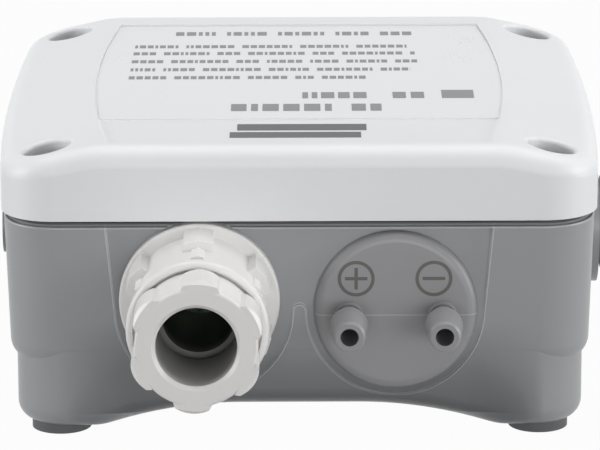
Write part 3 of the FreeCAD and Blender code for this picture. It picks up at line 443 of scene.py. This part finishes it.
# %% [markdown]
# ## Print on the film
# The real film carries rows of small grey print. Here each row is a line of plain
# blocks with the same rhythm: words are runs of short blocks, with gaps between them.
# They say nothing, and they keep the scale of the real thing. A print is a few
# hundredths of a millimetre thick, so each block is a very thin slab.

# %% Helpers for thin slabs
PRINT_THICKNESS = 0.03 * MM
film_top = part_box("label_film")[1][2]
print("film's top at", round(film_top / MM, 2), "mm")


def finished_piece(name, mesh_maker, material, body):
    """Turn a bmesh into an object at the origin that rides on a body."""
    mesh = bpy.data.meshes.new(name)
    mesh_maker.to_mesh(mesh)
    mesh_maker.free()
    mesh.materials.append(material)
    thing = bpy.data.objects.new(name, mesh)
    bpy.context.scene.collection.objects.link(thing)
    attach(thing, body)
    return thing


def add_slab(maker, x, y, z, width, depth, thickness):
    """One thin slab, lying flat, whose underside is centred on x, y and z."""
    centre = Vector((x, y, z + thickness / 2))
    size = Matrix.Diagonal((width, depth, thickness, 1))
    bmesh.ops.create_cube(maker, size=1, matrix=Matrix.Translation(centre) @ size)


# %% Where the print goes
# Each row: its place from front to back, its left and right ends, the height of its
# blocks and how wide they are for that height, in millimetres from the middle of the lid.
ROWS = [
    (27.75, -18.5, 17.0, 2.2, 0.80), (19.65, -24.4, 16.1, 1.7, 0.72),
    (15.35, -24.5, 17.2, 1.7, 0.72), (10.45, -24.6, 17.9, 1.7, 0.72),
    (5.55, -24.6, 16.3, 1.7, 0.72), (0.75, -24.7, 9.7, 1.7, 0.72),
    (-9.75, 0.5, 11.7, 3.4, 0.70), (-16.65, -9.6, 11.7, 3.9, 0.74),
]
MARKS = [(-9.75, 13.4, 15.3, 3.5), (-9.75, 16.0, 17.9, 3.5), (-9.25, 20.4, 25.0, 4.6)]
BARS = [(-26.9, -8.6, 9.4, 3.4), (-31.0, -9.6, 8.6, 3.0)]
WORD_LETTERS = (3, 9)
BLOCK_WIDTHS = (0.34, 0.70, 0.76, 0.80)
GAP_SHARE, SPACE_SHARE = 0.22, 0.75
print_grey = moulded("print_grey", srgb(128, 129, 132), 0.45, cloud=0.01)
bar_grey = moulded("bar_grey", srgb(70, 71, 73), 0.45, cloud=0.01)
print("rows:", len(ROWS), "marks:", len(MARKS), "bars:", len(BARS))

# %% Rows of print


def print_row(maker, y, left, right, height, share, chance):
    """Fill a row with words of short blocks."""
    pitch = height * share
    x = left
    letters = chance.randint(*WORD_LETTERS)
    while x < right:
        width = min(pitch * chance.choice(BLOCK_WIDTHS), right - x)
        add_slab(maker, (x + width / 2) * MM, y * MM, film_top, width * MM, height * MM,
                 PRINT_THICKNESS)
        x += width + pitch * GAP_SHARE
        letters -= 1
        if letters == 0:
            x += pitch * SPACE_SHARE
            letters = chance.randint(*WORD_LETTERS)


chance = random.Random(7)
maker = bmesh.new()
for row in ROWS:
    print_row(maker, *row, chance)
for y, left, right, height in MARKS:
    add_slab(maker, (left + right) / 2 * MM, y * MM, film_top, (right - left) * MM,
             height * MM, PRINT_THICKNESS)
label_print = finished_piece("label_print", maker, print_grey, "housing")
print("print blocks:", len(label_print.data.polygons) // 6)

# %% [markdown]
# ### Two bars in front of the film
# The lid's field reaches past the film towards the front. Two plain dark bars lie on
# that bare strip, straight on the plastic.

# %% Two bars on the bare strip
FIELD_FLOOR = 41.45 * MM
maker = bmesh.new()
for y, left, right, height in BARS:
    add_slab(maker, (left + right) / 2 * MM, y * MM, FIELD_FLOOR, (right - left) * MM,
             height * MM, PRINT_THICKNESS)
front_bars = finished_piece("front_bars", maker, bar_grey, "housing")
print("bars:", len(front_bars.data.polygons) // 6)

# %% [markdown]
# ## Signs for the two ports
# The plus and the minus are printed on the plate in dark grey, each in a ring. A ring
# is a small rectangle spun a full turn about the sign's middle. The bars are slabs.

# %% Sizes of the signs and helpers for their strokes
PLATE_THICKNESS = 1.6 * MM
RECESS_PLANE = -38.6 * MM
plate_face = RECESS_PLANE - PLATE_THICKNESS
sign_grey = moulded("sign_grey", srgb(88, 88, 84), 0.45, cloud=0.02)
SIGN_HEIGHT = 23.4 * MM
CROSSING = 1.01  # the upright is a hair thicker, so no two faces share a plane
SIGNS = {"plus_sign": 7.8 * MM, "minus_sign": 18.5 * MM}
RING_OUTER, RING_STROKE, BAR_LENGTH, BAR_STROKE = (
    size * MM for size in (2.55, 0.47, 3.1, 0.47))


def add_ring(maker, centre, outer, stroke, thickness):
    """A flat ring whose back lies on the plate."""
    corners = [(outer, 0), (outer - stroke, 0), (outer - stroke, -thickness),
               (outer, -thickness)]
    made = [maker.verts.new(centre + Vector((across, out, 0))) for across, out in corners]
    edges = [maker.edges.new((made[n], made[(n + 1) % 4])) for n in range(4)]
    bmesh.ops.spin(maker, geom=made + edges, cent=centre, axis=(0, 1, 0),
                   angle=math.tau, steps=64, use_merge=True)


def add_bar(maker, centre, width, height, thickness):
    """A bar whose back lies on the plate."""
    middle = centre + Vector((0, -thickness / 2, 0))
    size = Matrix.Diagonal((width, thickness, height, 1))
    bmesh.ops.create_cube(maker, size=1, matrix=Matrix.Translation(middle) @ size)


print("signs stand on the plate at", round(plate_face / MM, 2), "mm")

# %% Plus and minus signs
for name, across in SIGNS.items():
    maker = bmesh.new()
    centre = Vector((across, plate_face, SIGN_HEIGHT))
    add_ring(maker, centre, RING_OUTER, RING_STROKE, PRINT_THICKNESS)
    add_bar(maker, centre, BAR_LENGTH, BAR_STROKE, PRINT_THICKNESS)
    if name == "plus_sign":
        add_bar(maker, centre, BAR_STROKE, BAR_LENGTH, PRINT_THICKNESS * CROSSING)
    bmesh.ops.recalc_face_normals(maker, faces=maker.faces)
    finished_piece(name, maker, sign_grey, "housing")
    print(name, "made")

# %% [markdown]
# ## Floor, light and camera
# A product picture has a white backdrop and very soft light. The lamps stay at a plain
# level, at which a colour comes out about as it is written. The white behind the
# object is only what the camera and the mirror rays see.

# %% Floor
FLOOR_SIZE = 3.0
FLOOR_GREY = (0.22, 0.22, 0.22)
FLOOR_WHITE = 0.97
scene = bpy.context.scene
scene.view_settings.view_transform = "Standard"
floor_maker = bmesh.new()
bmesh.ops.create_grid(floor_maker, x_segments=1, y_segments=1, size=FLOOR_SIZE)
floor_mesh = bpy.data.meshes.new("floor")
floor_maker.to_mesh(floor_mesh)
floor_maker.free()
floor = bpy.data.objects.new("floor", floor_mesh)
scene.collection.objects.link(floor)
print("floor:", 2 * FLOOR_SIZE, "m across")

# %% [markdown]
# ### White for the eye only
# A white floor and a white sky would also throw white light on the object from every
# side, and its forms would go flat. So a Light Path node tells the rays apart: the
# camera and the mirror rays see white, and the light that bounces around sees a
# calmer grey. A small share of the floor's own shading stays, with its shadow.

# %% A shader that looks white


def seen_white(tree, plain, share):
    """Mix a shader with white light for what the camera and the mirror rays see."""
    path = tree.nodes.new("ShaderNodeLightPath")
    white = tree.nodes.new("ShaderNodeEmission")
    mix = tree.nodes.new("ShaderNodeMixShader")
    seen = path.outputs["Is Camera Ray"]
    for other in ("Is Glossy Ray", "Is Transmission Ray"):
        add = tree.nodes.new("ShaderNodeMath")
        add.operation = "MAXIMUM"
        tree.links.new(seen, add.inputs[0])
        tree.links.new(path.outputs[other], add.inputs[1])
        seen = add.outputs[0]
    scale = tree.nodes.new("ShaderNodeMath")
    scale.operation = "MULTIPLY"
    scale.inputs[1].default_value = share
    tree.links.new(seen, scale.inputs[0])
    tree.links.new(scale.outputs[0], mix.inputs[0])
    tree.links.new(plain, mix.inputs[1])
    tree.links.new(white.outputs[0], mix.inputs[2])
    return mix.outputs[0]


floor_finish = Finish("floor_paper", FLOOR_GREY, 0.9)
floor_output = floor_finish.tree.nodes["Material Output"]
floor_finish.tree.links.new(
    seen_white(floor_finish.tree, floor_finish.shader.outputs[0], FLOOR_WHITE),
    floor_output.inputs[0])
floor.data.materials.append(floor_finish.material)
print("share of white that the camera sees:", FLOOR_WHITE)

# %% [markdown]
# ### Soft light
# One wide lamp above lights the lid, a low one in front the front wall, and one on
# each side gives the corners their paler edges. The world fills in the rest.

# %% World
WORLD_LIGHT = 0.58
world = bpy.data.worlds.new("studio")
scene.world = world
world.use_nodes = True
backdrop = world.node_tree.nodes["Background"]
backdrop.inputs["Strength"].default_value = WORLD_LIGHT
world.node_tree.links.new(
    seen_white(world.node_tree, backdrop.outputs[0], 1.0),
    world.node_tree.nodes["World Output"].inputs[0])


print("world:", WORLD_LIGHT)

# %% Lamps
# Each lamp: where it is, what it looks at, its width and height in metres, its power.
LAMPS = {
    "top_lamp": ((0.05, 0.10, 0.75), (0, 0, 0), (0.8, 0.7), 4.15),
    "front_lamp": ((0.15, -0.9, 0.12), (0, 0, 0.02), (0.8, 0.3), 3.8),
    "side_lamp_left": ((-0.8, -0.12, 0.12), (0, 0, 0.02), (0.4, 0.6), 4.9),
    "side_lamp_right": ((0.8, -0.12, 0.12), (0, 0, 0.02), (0.4, 0.6), 4.5),
}


def area_lamp(name, place, target, size, power):
    """A rectangular lamp that looks at a point."""
    lamp = bpy.data.lights.new(name, "AREA")
    lamp.shape = "RECTANGLE"
    lamp.size, lamp.size_y = size
    lamp.energy = power
    thing = bpy.data.objects.new(name, lamp)
    thing.location = place
    aim = Vector(target) - Vector(place)
    thing.rotation_euler = aim.to_track_quat("-Z", "Y").to_euler()
    scene.collection.objects.link(thing)


for name, lamp in LAMPS.items():
    area_lamp(name, *lamp)
print("lamps:", len(LAMPS))

# %% [markdown]
# ### Camera
# It looks down on the front by some sixteen degrees through a long lens, so the part is
# hardly in perspective. A hair of roll and shift sets it as a hand-held camera would.

# %% Camera
VIEW_RISE = math.radians(16.04)
VIEW_DISTANCE = 0.612
VIEW_POINT = Vector((0.0, -0.040, 0.03095))
FOCAL_SHARE = 7.438
VIEW_ROLL = math.radians(-0.18)
VIEW_SHIFT = (0.0012, 0.0012)
SENSOR_WIDTH = 36.0
camera_data = bpy.data.cameras.new("camera")
camera_data.sensor_width = SENSOR_WIDTH
camera_data.lens = FOCAL_SHARE * camera_data.sensor_width
camera = bpy.data.objects.new("camera", camera_data)
back = Vector((0, -math.cos(VIEW_RISE), math.sin(VIEW_RISE)))
camera.location = VIEW_POINT + back * VIEW_DISTANCE
aim = (-back).to_track_quat("-Z", "Y") @ Quaternion((0, 0, 1), VIEW_ROLL)
camera.rotation_euler = aim.to_euler()
camera_data.shift_x, camera_data.shift_y = VIEW_SHIFT
scene.collection.objects.link(camera)
scene.camera = camera
print("camera at", [round(c, 3) for c in camera.location])
